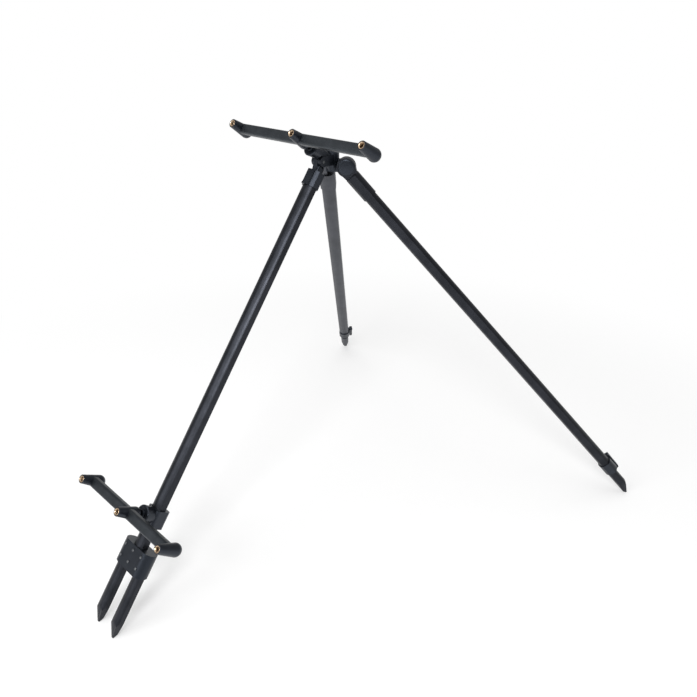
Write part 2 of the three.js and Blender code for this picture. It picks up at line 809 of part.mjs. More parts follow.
function buildTripod() {
  const tripod = new THREE.Group();
  const longHeight = pivotHeight(
    longLegLength,
    longLegTilt,
    longPivotRise + tipDrop,
  );
  const sideHeight = longHeight - sidePivotDrop;
  const pivots = {
    long: new THREE.Vector3(-longPivotBack, 0, longHeight),
    right: new THREE.Vector3(sidePivotForward, -sidePivotSide, sideHeight),
    rear: new THREE.Vector3(sidePivotForward, sidePivotSide, sideHeight),
  };
  addHead(tripod, longHeight, pivots);
  addLongLeg(tripod, pivots.long);
  addSideLeg(tripod, 'right', rightAzimuth, pivots.right);
  addSideLeg(tripod, 'rear', rearAzimuth, pivots.rear);
  const box = new THREE.Box3().setFromObject(tripod, true);
  const centre = box.getCenter(new THREE.Vector3());
  tripod.position.set(-centre.x, -centre.y, -box.min.z);
  return tripod;
}

const group = buildTripod();

export default group;
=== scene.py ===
"""Surf rod tripod: the visual model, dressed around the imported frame."""

import json
import logging
import math
from contextlib import contextmanager
from dataclasses import dataclass, field
from enum import Enum
from typing import Callable, Iterator

import bmesh
import bpy
from mathutils import Matrix, Vector


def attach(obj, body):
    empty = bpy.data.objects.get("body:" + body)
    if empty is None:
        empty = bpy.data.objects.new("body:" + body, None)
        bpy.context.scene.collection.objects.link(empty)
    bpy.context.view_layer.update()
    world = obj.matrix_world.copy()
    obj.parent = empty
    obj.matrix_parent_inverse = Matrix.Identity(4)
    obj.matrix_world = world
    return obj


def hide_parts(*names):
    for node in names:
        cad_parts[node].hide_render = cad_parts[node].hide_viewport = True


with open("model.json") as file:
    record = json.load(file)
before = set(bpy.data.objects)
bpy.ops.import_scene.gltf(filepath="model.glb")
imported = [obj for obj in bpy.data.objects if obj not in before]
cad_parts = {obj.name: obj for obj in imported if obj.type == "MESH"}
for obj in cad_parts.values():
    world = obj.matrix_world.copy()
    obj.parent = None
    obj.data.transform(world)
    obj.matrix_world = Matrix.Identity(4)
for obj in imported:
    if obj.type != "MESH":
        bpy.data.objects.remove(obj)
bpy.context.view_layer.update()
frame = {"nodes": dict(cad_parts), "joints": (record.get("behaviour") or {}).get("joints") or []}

MM = 0.001

# Points closer than this are one point, in metres
TOUCHING = 0.01 * MM
# A face looks along an axis where its normal's share along it is over this
FACING = 0.98
# Sides of a round piece, and steps of a bevelled edge and of a rounded corner
ROUND = 64
EDGE_STEPS = 4
CORNER_STEPS = 8
# Faces that meet at less than these angles shade as one, aren't bevelled, are one flat
SMOOTH_ANGLE = math.radians(32)
SHARP_ANGLE = math.radians(34)
FLAT_ANGLE = math.radians(0.6)
# The CAD's clearance between pieces, and the bars' neck, in millimetres
CLEARANCE = 0.3
NECK_LENGTH = 5
# Height of the finishes' fine reliefs, in metres
RELIEF_DEPTH = 0.0001

logging.basicConfig(level=logging.INFO, format="%(message)s")
log = logging.getLogger("tripod")

# Short names for the node types
Tree = bpy.types.NodeTree
Socket = bpy.types.NodeSocket
# Tests of a face's centre and normal, or of an edge's two ends, and of a point
Test = Callable[[Vector, Vector], bool]
PointTest = Callable[[Vector], bool]


# Colour and nodes

def to_linear(code: str) -> tuple[float, float, float, float]:
    """Turn an sRGB hex colour into linear values.

    Args:
        code: six hex digits.

    Returns:
        Linear red, green and blue, and an alpha of 1.
    """
    shares = [int(code[at:at + 2], 16) / 255 for at in (0, 2, 4)]
    red, green, blue = [
        share / 12.92 if share <= 0.04045 else ((share + 0.055) / 1.055) ** 2.4
        for share in shares
    ]
    return red, green, blue, 1.0


def add_node(tree: Tree, kind: str, values: dict | None = None,
             links: dict | None = None, **settings: object) -> bpy.types.Node:
    """Add a node with its settings and links.

    Args:
        tree: the node tree it goes in.
        kind: the node's type.
        values: default values by input socket.
        links: output sockets by input socket.
        settings: the node's own properties.

    Returns:
        The new node.
    """
    node = tree.nodes.new(kind)
    for key, value in settings.items():
        setattr(node, key, value)
    for socket, value in (values or {}).items():
        node.inputs[socket].default_value = value
    for socket, source in (links or {}).items():
        tree.links.new(source, node.inputs[socket])
    return node


# Places

@dataclass(frozen=True)
class Place:
    """Where a sub-assembly's pieces are drawn: an origin and three axes."""

    origin: Vector
    across: Vector
    out: Vector
    along: Vector

    @property
    def matrix(self) -> Matrix:
        """The turn and move from the place to the whole object."""
        turn = Matrix((self.across, self.out, self.along)).transposed()
        return Matrix.Translation(self.origin) @ turn.to_4x4()

    def moved(self, across: float, out: float, along: float) -> "Place":
        """The same axes with the origin moved, in millimetres of each axis."""
        step = self.across * across + self.out * out + self.along * along
        return Place(self.origin + step * MM, self.across, self.out, self.along)


def joint(name: str) -> dict:
    """The record's joint of that name."""
    return next(item for item in frame["joints"] if item["name"] == name)


def leg_place(fold: str, slide: str, slide_sign: float) -> Place:
    """The place of a leg, with its fold's pivot as the origin.

    Args:
        fold: the joint that folds the leg.
        slide: the joint that slides along the leg.
        slide_sign: 1 where the slide points up the leg, -1 where down.

    Returns:
        The place, with its third axis up the leg.
    """
    across = -Vector(joint(fold)["axis"]).normalized()
    along = Vector(joint(slide)["axis"]).normalized() * slide_sign
    out = along.cross(across)
    return Place(Vector(joint(fold)["pos_m"]), across, out, along)


def bar_place(swivel: str) -> Place:
    """The place of a rod bar, with the back of its middle boss as the origin.

    Args:
        swivel: the joint that turns the bar, at the other end of its neck.

    Returns:
        The place, with its third axis along the neck, towards the brass inserts.
    """
    along = Vector(joint(swivel)["axis"]).normalized()
    across = Vector((0, 1, 0))
    out = along.cross(across)
    place = Place(Vector(joint(swivel)["pos_m"]), across, out, along)
    return place.moved(0, 0, NECK_LENGTH)


# Modelling with operators

def deselect() -> None:
    """Leave nothing selected in object mode."""
    if bpy.context.mode != "OBJECT":
        bpy.ops.object.mode_set(mode="OBJECT")
    bpy.ops.object.select_all(action="DESELECT")


def activate(piece: bpy.types.Object) -> None:
    """Make the piece the active and only selected one.

    Args:
        piece: the piece.
    """
    deselect()
    piece.select_set(True)
    bpy.context.view_layer.objects.active = piece


@contextmanager
def editing(piece: bpy.types.Object, mode: str = "FACE") -> Iterator[None]:
    """Edit mode on one piece, entered with nothing selected.

    Args:
        piece: the piece to edit.
        mode: what is selected in it: VERT, EDGE or FACE.

    Returns:
        The context, which ends in object mode.
    """
    activate(piece)
    bpy.ops.object.mode_set(mode="EDIT")
    bpy.ops.mesh.select_mode(type=mode)
    bpy.ops.mesh.select_all(action="DESELECT")
    yield
    bpy.ops.object.mode_set(mode="OBJECT")


def pick_faces(piece: bpy.types.Object, test: Test) -> None:
    """Select faces of the piece in edit mode.

    Args:
        piece: the piece.
        test: what a face's centre and normal have to pass.
    """
    mesh = bmesh.from_edit_mesh(piece.data)
    bpy.ops.mesh.select_all(action="DESELECT")
    for face in mesh.faces:
        face.select_set(test(face.calc_center_median(), face.normal))
    bmesh.update_edit_mesh(piece.data)


def pick_edges(piece: bpy.types.Object, test: Test) -> None:
    """Select edges of the piece in edit mode.

    Args:
        piece: the piece.
        test: what an edge's two ends have to pass.
    """
    mesh = bmesh.from_edit_mesh(piece.data)
    bpy.ops.mesh.select_all(action="DESELECT")
    for edge in mesh.edges:
        edge.select_set(test(edge.verts[0].co, edge.verts[1].co))
    mesh.select_flush_mode()
    bmesh.update_edit_mesh(piece.data)


def pick_points(piece: bpy.types.Object, test: PointTest) -> None:
    """Select points of the piece in edit mode.

    Args:
        piece: the piece.
        test: what a point has to pass.
    """
    mesh = bmesh.from_edit_mesh(piece.data)
    bpy.ops.mesh.select_all(action="DESELECT")
    for point in mesh.verts:
        point.select_set(test(point.co))
    mesh.select_flush_mode()
    bmesh.update_edit_mesh(piece.data)


def set_location(piece: bpy.types.Object, matrix: Matrix) -> None:
    """Put the place into the mesh, and the object at the origin.

    Args:
        piece: the piece.
        matrix: the turn and move to put into its mesh.
    """
    piece.data.transform(matrix @ piece.matrix_world)
    piece.matrix_world = Matrix.Identity(4)


def upright(first: Vector, second: Vector) -> bool:
    """Whether the edge between two ends stands along Z."""
    return abs(first.x - second.x) < TOUCHING and abs(first.y - second.y) < TOUCHING


def close_up(piece: bpy.types.Object) -> None:
    """Merge doubles and point every face outwards.

    Args:
        piece: the piece to close up.
    """
    with editing(piece):
        bpy.ops.mesh.select_all(action="SELECT")
        bpy.ops.mesh.remove_doubles(threshold=TOUCHING)
        bpy.ops.mesh.normals_make_consistent(inside=False)


def soften(piece: bpy.types.Object, width: float, segments: int = 3) -> None:
    """Round the sharp edges with a bevel, applied.

    Args:
        piece: the piece to round.
        width: the bevel's width in millimetres.
        segments: how many steps the bevel has.
    """
    activate(piece)
    bevel = piece.modifiers.new("edge round", "BEVEL")
    bevel.width = width * MM
    bevel.segments = segments
    bevel.limit_method = "ANGLE"
    bevel.angle_limit = SHARP_ANGLE
    bevel.use_clamp_overlap = True
    bpy.ops.object.modifier_apply(modifier=bevel.name)


def shade(piece: bpy.types.Object) -> None:
    """Smooth shading across soft edges, led by the large faces so they look flat.

    Args:
        piece: the piece to shade.
    """
    activate(piece)
    bpy.ops.object.shade_smooth_by_angle(angle=SMOOTH_ANGLE)
    weighted = piece.modifiers.new("flat faces", "WEIGHTED_NORMAL")
    # At 100 the largest face alone sets a point's normal
    weighted.weight = 100
    weighted.keep_sharp = True
    bpy.ops.object.modifier_apply(modifier=weighted.name)


def merged_copy(node: str, name: str) -> bpy.types.Object:
    """A copy of a CAD node with its own mesh, merged and with whole flat faces.

    Args:
        node: the CAD node.
        name: the new piece's name.

    Returns:
        The copy.
    """
    source = frame["nodes"][node]
    mesh = source.data.copy()
    mesh.materials.clear()
    piece = bpy.data.objects.new(name, mesh)
    bpy.context.scene.collection.objects.link(piece)
    with editing(piece):
        bpy.ops.mesh.select_all(action="SELECT")
        bpy.ops.mesh.remove_doubles(threshold=TOUCHING)
        bpy.ops.mesh.dissolve_limited(angle_limit=FLAT_ANGLE)
    return piece


def turned(name: str, profile: list[tuple[float, float]],
           steps: int = ROUND) -> bpy.types.Object:
    """A round piece about Z, drawn out ring by ring as on a lathe.

    Args:
        name: the piece's name.
        profile: radius and height of each ring, in millimetres.
        steps: how many sides it has.

    Returns:
        The piece, closed at both ends.
    """
    deselect()
    radius, height = profile[0]
    bpy.ops.mesh.primitive_circle_add(
        vertices=steps, radius=radius * MM, fill_type="NGON",
        location=(0, 0, height * MM))
    piece = bpy.context.object
    piece.name = name
    set_location(piece, Matrix.Identity(4))
    with editing(piece):
        bpy.ops.mesh.select_all(action="SELECT")
        for next_radius, next_height in profile[1:]:
            bpy.ops.mesh.extrude_region_move(
                TRANSFORM_OT_translate={"value": (0, 0, (next_height - height) * MM)})
            share = next_radius / radius
            bpy.ops.transform.resize(
                value=(share, share, 1), center_override=(0, 0, next_height * MM))
            radius, height = next_radius, next_height
    close_up(piece)
    return piece


@dataclass(frozen=True)
class Section:
    """A tube's cross section: flat sides with a bowed top and bottom.

    Width is across the flat sides, depth over the bows, and flat the height of
    a flat side, all in millimetres.
    """

    width: float
    depth: float
    flat: float

    @property
    def bow(self) -> float:
        """Radius of the bowed faces, from their chord and rise.

        Returns:
            The radius in millimetres.
        """
        half = self.width / 2
        rise = (self.depth - self.flat) / 2
        return (half * half + rise * rise) / (2 * rise)


def barrel(name: str, section: Section, low: float, high: float,
           edge: float) -> bpy.types.Object:
    """A length with flat sides and bowed faces, standing along Z.

    It is a round bar with the bows' radius, cut at the flat sides, whose front
    and back halves are then moved together.

    Args:
        name: the piece's name.
        section: its cross section.
        low: the height of its foot, in millimetres.
        high: the height of its top, in millimetres.
        edge: the round of its long edges, in millimetres.

    Returns:
        The piece, closed at both ends.
    """
    deselect()
    bow = section.bow
    side = section.width / 2 * MM
    bpy.ops.mesh.primitive_cylinder_add(
        vertices=2 * ROUND, radius=bow * MM, depth=(high - low) * MM,
        location=(0, 0, (low + high) / 2 * MM))
    piece = bpy.context.object
    piece.name = name
    set_location(piece, Matrix.Identity(4))
    with editing(piece, "VERT"):
        for sign in (1, -1):
            bpy.ops.mesh.select_all(action="SELECT")
            bpy.ops.mesh.bisect(
                plane_co=(sign * side, 0, 0), plane_no=(sign, 0, 0),
                clear_outer=True, use_fill=True)
        shift = (bow - section.depth / 2) * MM
        for sign in (1, -1):
            pick_points(piece, lambda co: co.y * sign > 0)
            bpy.ops.transform.translate(value=(0, -sign * shift, 0))
        pick_edges(piece, lambda a, b: abs(abs(a.x) - side) < TOUCHING
                   and upright(a, b))
        bpy.ops.mesh.bevel(offset=edge * MM, segments=EDGE_STEPS, affect="EDGES")
    close_up(piece)
    return piece


def rounded_block(name: str, size: Vector, centre: Vector,
                  corner: float) -> bpy.types.Object:
    """A block whose four upright edges are rounded.

    Args:
        name: the piece's name.
        size: its width, depth and height, in millimetres.
        centre: its middle, in millimetres.
        corner: the round of the upright edges, in millimetres.

    Returns:
        The block.
    """
    deselect()
    bpy.ops.mesh.primitive_cube_add(size=MM, location=centre * MM, scale=size)
    piece = bpy.context.object
    piece.name = name
    set_location(piece, Matrix.Identity(4))
    with editing(piece, "EDGE"):
        pick_edges(piece, upright)
        bpy.ops.mesh.bevel(offset=corner * MM, segments=CORNER_STEPS, affect="EDGES")
    close_up(piece)
    return piece


# Finishes

def noise(tree: Tree, place: Socket, per_metre: float, detail: float) -> Socket:
    """Add a noise pattern.

    Args:
        tree: the node tree it goes in.
        place: the coordinates it is drawn in.
        per_metre: how many patches it has along a metre.
        detail: how many finer layers it has.

    Returns:
        The pattern's value, from 0 to 1.
    """
    node = add_node(tree, "ShaderNodeTexNoise",
                    values={"Scale": per_metre, "Detail": detail},
                    links={"Vector": place})
    return node.outputs["Fac"]


def tint(tree: Tree, pattern: Socket, ends: tuple[float, float], dark: str,
         light: str) -> Socket:
    """Add a ramp between two colours.

    Args:
        tree: the node tree it goes in.
        pattern: the value that picks the colour.
        ends: the values where the colour is all dark and all light.
        dark: the dark colour's hex digits.
        light: the light colour's hex digits.

    Returns:
        The colour.
    """
    ramp = add_node(tree, "ShaderNodeValToRGB", links={"Fac": pattern})
    for stop, end, code in zip(ramp.color_ramp.elements, ends, (dark, light)):
        stop.position = end
        stop.color = to_linear(code)
    return ramp.outputs["Color"]


def spread(tree: Tree, pattern: Socket, low: float, high: float) -> Socket:
    """Spread a pattern over a range of values.

    Args:
        tree: the node tree it goes in.
        pattern: the value to spread, from 0 to 1.
        low: what 0 becomes.
        high: what 1 becomes.

    Returns:
        The spread value.
    """
    node = add_node(tree, "ShaderNodeMapRange",
                    values={"To Min": low, "To Max": high},
                    links={"Value": pattern})
    return node.outputs["Result"]


def relief(tree: Tree, pattern: Socket, strength: float) -> Socket:
    """Turn a pattern into a fine relief.

    Args:
        tree: the node tree it goes in.
        pattern: the height, from 0 to 1.
        strength: how much of it shows.

    Returns:
        The surface's normal.
    """
    node = add_node(tree, "ShaderNodeBump",
                    values={"Strength": strength, "Distance": RELIEF_DEPTH},
                    links={"Height": pattern})
    return node.outputs["Normal"]


class Slot(Enum):
    """The record's material slots."""

    ANODISED = "anodised"
    MOULDED = "moulded"
    BRASS = "brass"
    STEEL = "steel"


@dataclass(frozen=True)
class Finish:
    """What every finish has: a name, a slot and its pattern's place."""

    name: str
    slot: Slot
    place: Place | None = None

    def build(self) -> bpy.types.Material:
        """Make the material with its nodes, once.

        Returns:
            The material, the one made before if the name is taken.
        """
        made = bpy.data.materials.get(self.name)
        if made is not None:
            return made
        material = bpy.data.materials.new(self.name)
        material.use_nodes = True
        tree = material.node_tree
        tree.nodes.clear()
        surface = self.surface(tree, self.coordinates(tree))
        add_node(tree, "ShaderNodeOutputMaterial", links={"Surface": surface})
        return material

    def coordinates(self, tree: Tree) -> Socket:
        """Object coordinates, turned to the finish's place if it has one.

        Args:
            tree: the material's node tree.

        Returns:
            The coordinates, in metres.
        """
        source = add_node(tree, "ShaderNodeTexCoord")
        if self.place is None:
            return source.outputs["Object"]
        turn = self.place.matrix
        mapping = add_node(
            tree, "ShaderNodeMapping", vector_type="TEXTURE",
            values={"Location": turn.translation, "Rotation": turn.to_euler()},
            links={"Vector": source.outputs["Object"]})
        return mapping.outputs["Vector"]

    def surface(self, tree: Tree, place: Socket) -> Socket:
        """The shader of the finish.

        Args:
            tree: the material's node tree.
            place: the coordinates of its patterns.

        Returns:
            The shader's output.
        """
        raise NotImplementedError


@dataclass(frozen=True)
class AnodisedAluminium(Finish):
    """Drawn aluminium tube, bead blasted and anodised charcoal.

    The blast gives a satin sheen that spreads a light along the tube, the die
    leaves faint streaks lengthwise, and the dye is slightly uneven.
    """

    dark: str = "292b30"
    light: str = "34363c"
    metallic: float = 0.9
    # The streaks change the roughness by this much each way
    roughness: float = 0.38
    rough_change: float = 0.06
    # Dye clouds about 30 mm across
    cloud_per_metre: float = 1 / 0.03
    cloud_detail: float = 4
    cloud_ends: tuple[float, float] = (0.3, 0.7)
    # Die streaks about 2 mm wide, drawn thirty times as long
    streak_per_metre: float = 1 / 0.002
    streak_share: float = 1 / 30
    streak_detail: float = 2
    # The real blast grain is near 0.15 mm, too fine to show, so it is drawn at 0.8 mm
    grain_per_metre: float = 1 / 0.0008
    grain_detail: float = 2
    grain_strength: float = 0.25

    def surface(self, tree: Tree, place: Socket) -> Socket:
        """Satin metal with clouds, streaks and a fine grain.

        Args:
            tree: the material's node tree.
            place: the coordinates of its patterns.

        Returns:
            The shader's output.
        """
        cloud = noise(tree, place, self.cloud_per_metre, self.cloud_detail)
        colour = tint(tree, cloud, self.cloud_ends, self.dark, self.light)
        drawn = add_node(tree, "ShaderNodeMapping",
                         values={"Scale": (1, 1, self.streak_share)},
                         links={"Vector": place})
        streak = noise(tree, drawn.outputs["Vector"], self.streak_per_metre,
                       self.streak_detail)
        rough = spread(tree, streak, self.roughness - self.rough_change,
                       self.roughness + self.rough_change)
        grain = noise(tree, place, self.grain_per_metre, self.grain_detail)
        shader = add_node(tree, "ShaderNodeBsdfPrincipled",
                          values={"Metallic": self.metallic},
                          links={"Base Color": colour, "Roughness": rough,
                                 "Normal": relief(tree, grain, self.grain_strength)})
        return shader.outputs["BSDF"]


@dataclass(frozen=True)
class FilledNylon(Finish):
    """Glass-filled nylon, injection moulded in a spark-eroded die.

    The eroded die leaves a fine matt grain, so a light shows as a broad soft
    patch, and the glass fibre leaves faint grey flow clouds.
    """

    dark: str = "0b0d11"
    light: str = "13161b"
    sheen: str = "dfeaff"
    refraction: float = 1.53
    # The clouds change the roughness by this much down and up
    roughness: float = 0.33
    rough_below: float = 0.05
    rough_above: float = 0.08
    # Flow clouds about 12 mm across
    cloud_per_metre: float = 1 / 0.012
    cloud_detail: float = 5
    cloud_ends: tuple[float, float] = (0.3, 0.72)
    # The die's real grain is near 0.1 mm, too fine to show, so it is drawn at 0.7 mm
    grain_per_metre: float = 1 / 0.0007
    grain_detail: float = 3
    grain_strength: float = 0.35

    def surface(self, tree: Tree, place: Socket) -> Socket:
        """Dark plastic with clouds and a fine grain.

        Args:
            tree: the material's node tree.
            place: the coordinates of its patterns.

        Returns:
            The shader's output.
        """
        cloud = noise(tree, place, self.cloud_per_metre, self.cloud_detail)
        colour = tint(tree, cloud, self.cloud_ends, self.dark, self.light)
        grain = noise(tree, place, self.grain_per_metre, self.grain_detail)
        rough = spread(tree, cloud, self.roughness - self.rough_below,
                       self.roughness + self.rough_above)
        shader = add_node(tree, "ShaderNodeBsdfPrincipled",
                          values={"IOR": self.refraction,
                                  "Specular Tint": to_linear(self.sheen)},
                          links={"Base Color": colour, "Roughness": rough,
                                 "Normal": relief(tree, grain, self.grain_strength)})
        return shader.outputs["BSDF"]


@dataclass(frozen=True)
class TurnedBrass(Finish):
    """Free-cutting brass bar, turned and left bright.

    The tool leaves fine rings round the bore that pull a light into a soft
    fan, and handling dulls the metal in patches.
    """

    dark: str = "a08469"
    light: str = "d8c1a4"
    bore_shade: str = "65503a"
    # Painted shade darkens the thread: wholly 6 mm under the face, not at all 1 mm under it
    shade_from: float = 0.0445
    shade_to: float = 0.0496
    # Dull patches about 4 mm across, which are rougher than the bright metal
    patch_per_metre: float = 1 / 0.004
    patch_detail: float = 4
    patch_ends: tuple[float, float] = (0.25, 0.65)
    rough_dull: float = 0.38
    rough_bright: float = 0.22
    # The real tool rings are too fine to show, so they are drawn about 3 mm apart
    ring_scale: float = 100
    ring_strength: float = 0.3

    def surface(self, tree: Tree, place: Socket) -> Socket:
        """Warm metal with tool rings, dull patches and painted shade in the thread.

        Args:
            tree: the material's node tree.
            place: the coordinates of its patterns, with Z along the bore.

        Returns:
            The shader's output.
        """
        patch = noise(tree, place, self.patch_per_metre, self.patch_detail)
        colour = tint(tree, patch, self.patch_ends, self.dark, self.light)
        depth = add_node(tree, "ShaderNodeSeparateXYZ", links={"Vector": place})
        # Painted shade: the thread darkens with depth into the bore
        unshaded = add_node(tree, "ShaderNodeMapRange",
                         values={"From Min": self.shade_from, "From Max": self.shade_to},
                         links={"Value": depth.outputs["Z"]})
        shown = add_node(tree, "ShaderNodeMixRGB",
                         values={"Color1": to_linear(self.bore_shade)},
                         links={"Fac": unshaded.outputs["Result"], "Color2": colour})
        rough = spread(tree, patch, self.rough_dull, self.rough_bright)
        rings = add_node(tree, "ShaderNodeTexWave", wave_type="RINGS",
                         rings_direction="Z", values={"Scale": self.ring_scale},
                         links={"Vector": place})
        normal = relief(tree, rings.outputs["Fac"], self.ring_strength)
        shader = add_node(tree, "ShaderNodeBsdfPrincipled", values={"Metallic": 1.0},
                          links={"Base Color": shown.outputs["Color"],
                                 "Roughness": rough, "Normal": normal})
        return shader.outputs["BSDF"]


@dataclass(frozen=True)
class DullSteel(Finish):
    """Stainless steel pin and screw stock, tumbled.

    Tumbling leaves a grey satin surface with small dull flecks.
    """

    dark: str = "55575a"
    light: str = "7d8083"
    # Tumbling flecks about 0.6 mm across
    fleck_per_metre: float = 1 / 0.0006
    fleck_detail: float = 3
    fleck_ends: tuple[float, float] = (0.35, 0.65)
    rough_low: float = 0.3
    rough_high: float = 0.5

    def surface(self, tree: Tree, place: Socket) -> Socket:
        """Grey satin metal with flecks.

        Args:
            tree: the material's node tree.
            place: the coordinates of its patterns.

        Returns:
            The shader's output.
        """
        fleck = noise(tree, place, self.fleck_per_metre, self.fleck_detail)
        colour = tint(tree, fleck, self.fleck_ends, self.dark, self.light)
        rough = spread(tree, fleck, self.rough_low, self.rough_high)
        shader = add_node(tree, "ShaderNodeBsdfPrincipled", values={"Metallic": 1.0},
                          links={"Base Color": colour, "Roughness": rough})
        return shader.outputs["BSDF"]


@dataclass(frozen=True)
class PaleFloor:
    """A plain painted floor that shows white and keeps the soft shadows."""

    name: str = "floor, matt white paint"
    colour: str = "fafafa"
    # The camera sees this share of a glow of this strength, and the paint for the rest
    glow_share: float = 0.38
    glow: float = 1.1
    # It fades to plain white between these distances from the middle, in metres
    fade_from: float = 0.75
    fade_to: float = 1.6

    def build(self) -> bpy.types.Material:
        """Matt white, lifted for the camera and faded to plain white far off.

        Returns:
            The material.
        """
        material = bpy.data.materials.new(self.name)
        material.use_nodes = True
        tree = material.node_tree
        tree.nodes.clear()
        paint = add_node(tree, "ShaderNodeBsdfDiffuse",
                         values={"Color": to_linear(self.colour)})
        glow = add_node(tree, "ShaderNodeEmission", values={"Strength": self.glow})
        lifted = add_node(tree, "ShaderNodeMixShader", values={0: self.glow_share},
                          links={1: paint.outputs[0], 2: glow.outputs[0]})
        white = add_node(tree, "ShaderNodeEmission", values={"Strength": 1.0})
        source = add_node(tree, "ShaderNodeTexCoord")
        reach = add_node(tree, "ShaderNodeVectorMath", operation="LENGTH",
                         links={0: source.outputs["Object"]})
        far = add_node(tree, "ShaderNodeMapRange", interpolation_type="SMOOTHSTEP",
                       values={"From Min": self.fade_from, "From Max": self.fade_to},
                       links={"Value": reach.outputs["Value"]})
        seen = add_node(tree, "ShaderNodeMixShader",
                        links={0: far.outputs["Result"], 1: lifted.outputs[0],
                               2: white.outputs[0]})
        path = add_node(tree, "ShaderNodeLightPath")
        mixed = add_node(tree, "ShaderNodeMixShader",
                         links={0: path.outputs["Is Camera Ray"],
                                1: paint.outputs[0], 2: seen.outputs[0]})
        add_node(tree, "ShaderNodeOutputMaterial", links={"Surface": mixed.outputs[0]})
        return material


# Finishing a piece

def dress(piece: bpy.types.Object, finish: Finish) -> None:
    """Put the finish on the piece, in place of any other."""
    piece.data.materials.clear()
    piece.data.materials.append(finish.build())


def finish_piece(piece: bpy.types.Object, body: str, node: str, finish: Finish,
                 place: Place | None = None) -> None:
    """Place, shade, dress and mount a new piece, and hide the node it stands for.

    Args:
        piece: the new piece.
        body: the CAD body it rides on.
        node: the CAD node it replaces.
        finish: its finish.
        place: where it was drawn, or None if it is in place already.
    """
    if place is not None:
        set_location(piece, place.matrix)
    shade(piece)
    dress(piece, finish)
    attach(piece, body)
    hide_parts(node)
    log.info("%s on %s, %d faces", piece.name, body, len(piece.data.polygons))


def keep_node(node: str, finish: Finish) -> None:
    """Dress a CAD node that stays as it is."""
    dress(frame["nodes"][node], finish)
    log.info("%s kept", node)


def soft_node(node: str, body: str, finish: Finish, width: float,
              segments: int = 3) -> None:
    """Stand a copy with rounded edges in for a CAD node.

    Args:
        node: the CAD node.
        body: the CAD body it rides on.
        finish: its finish.
        width: the round of its edges, in millimetres.
        segments: how many steps the round has.
    """
    piece = merged_copy(node, f"{node}_soft")
    soften(piece, width, segments)
    finish_piece(piece, body, node, finish)


# Sub-assemblies, with their sizes in millimetres

@dataclass
class Head:
    """The moulded head that carries the legs and the front bar."""

    nylon: FilledNylon
    edge: float = 1.0

    def build(self, steel: DullSteel) -> None:
        """Build the head and dress its pins.

        Args:
            steel: the pins' finish.
        """
        soft_node("head_body", "head", self.nylon, self.edge)
        for name in ("long", "right", "rear"):
            keep_node(f"{name}_hinge_pin", steel)


@dataclass
class LongLeg:
    """The long leg: its socket, tube, spike block and two spikes."""

    place: Place
    nylon: FilledNylon
    metal: AnodisedAluminium
    # The hinge pin's distance from the foot, and its height over the leg's axis
    length: float = 960
    pivot_rise: float = 6
    socket_edge: float = 0.8
    section: Section = field(default_factory=lambda: Section(26, 23.5, 12.8))
    tube_foot: float = 139.8
    tube_top: float = 934.7
    tube_edge: float = 1.1
    # The block's highlights are duller in the photo than the other mouldings'
    block_sheen: str = "c2cfe4"
    block_edge: float = 1.0
    spike_edge: float = 0.7
    # The block's face over the leg's axis, and the screws' places on it
    screw_face: float = 13.2
    screw_side: float = 26.1
    screw_rows: tuple[float, float] = (137.5, 160)
    screw_radius: float = 2.6
    screw_height: float = 1.2
    screw_sides: int = 24
    # The head's rings, as shares of its radius and height
    screw_rings: tuple[tuple[float, float], ...] = (
        (1, 0), (1, 0.55), (0.8, 0.9), (0.45, 1), (0.3, 0.3))
    # The recess's floor is found within this share of the radius, and made oval
    recess_reach: float = 0.2
    recess_stretch: tuple[float, float, float] = (1.1, 0.5, 1)

    @property
    def axis(self) -> Place:
        """The leg's own axis, with its foot as the origin."""
        return self.place.moved(0, -self.pivot_rise, -self.length)

    def tube(self) -> None:
        """The anodised tube."""
        piece = barrel("long_tube", self.section, self.tube_foot, self.tube_top,
                       self.tube_edge)
        finish_piece(piece, "long_leg", "long_leg_tube", self.metal, self.axis)

    def screws(self, steel: DullSteel) -> None:
        """A round screw head with an oval floor in its recess, at the six places.

        Args:
            steel: the screws' finish.
        """
        head = turned("block_screw", [
            (self.screw_radius * radius, CLEARANCE + self.screw_height * height)
            for radius, height in self.screw_rings], self.screw_sides)
        reach = self.screw_radius * self.recess_reach * MM
        with editing(head):
            pick_faces(head, lambda centre, normal: normal.z > FACING
                       and centre.xy.length < reach)
            bpy.ops.transform.resize(value=self.recess_stretch)
        spots = [(column, row) for row in self.screw_rows
                 for column in (-self.screw_side, 0, self.screw_side)]
        for count, (column, row) in enumerate(spots, 1):
            copy = head.copy()
            copy.data = head.data.copy()
            copy.name = f"screw_{count}"
            bpy.context.scene.collection.objects.link(copy)
            spot = self.axis.moved(column, self.screw_face, row)
            facing = Place(spot.origin, spot.across, -spot.along, spot.out)
            finish_piece(copy, "long_leg", f"block_screw_{count}", steel, facing)
        bpy.data.objects.remove(head)

    def build(self, steel: DullSteel) -> None:
        """Build the leg's pieces.

        Args:
            steel: the screws' finish.
        """
        self.tube()
        soft_node("long_leg_socket", "long_leg", self.nylon, self.socket_edge)
        dull = FilledNylon("glass-filled nylon, spike block", Slot.MOULDED,
                           sheen=self.block_sheen)
        soft_node("spike_block", "long_leg", dull, self.block_edge)
        for side in ("left", "right"):
            soft_node(f"twin_spike_{side}", "long_leg", self.metal, self.spike_edge)
        self.screws(steel)


@dataclass
class BarClamp:
    """The sleeve that slides on the long leg and carries the rear bar."""

    nylon: FilledNylon
    edge: float = 1.0

    def build(self) -> None:
        """Build the clamp."""
        soft_node("rear_bar_clamp", "bar_clamp", self.nylon, self.edge)


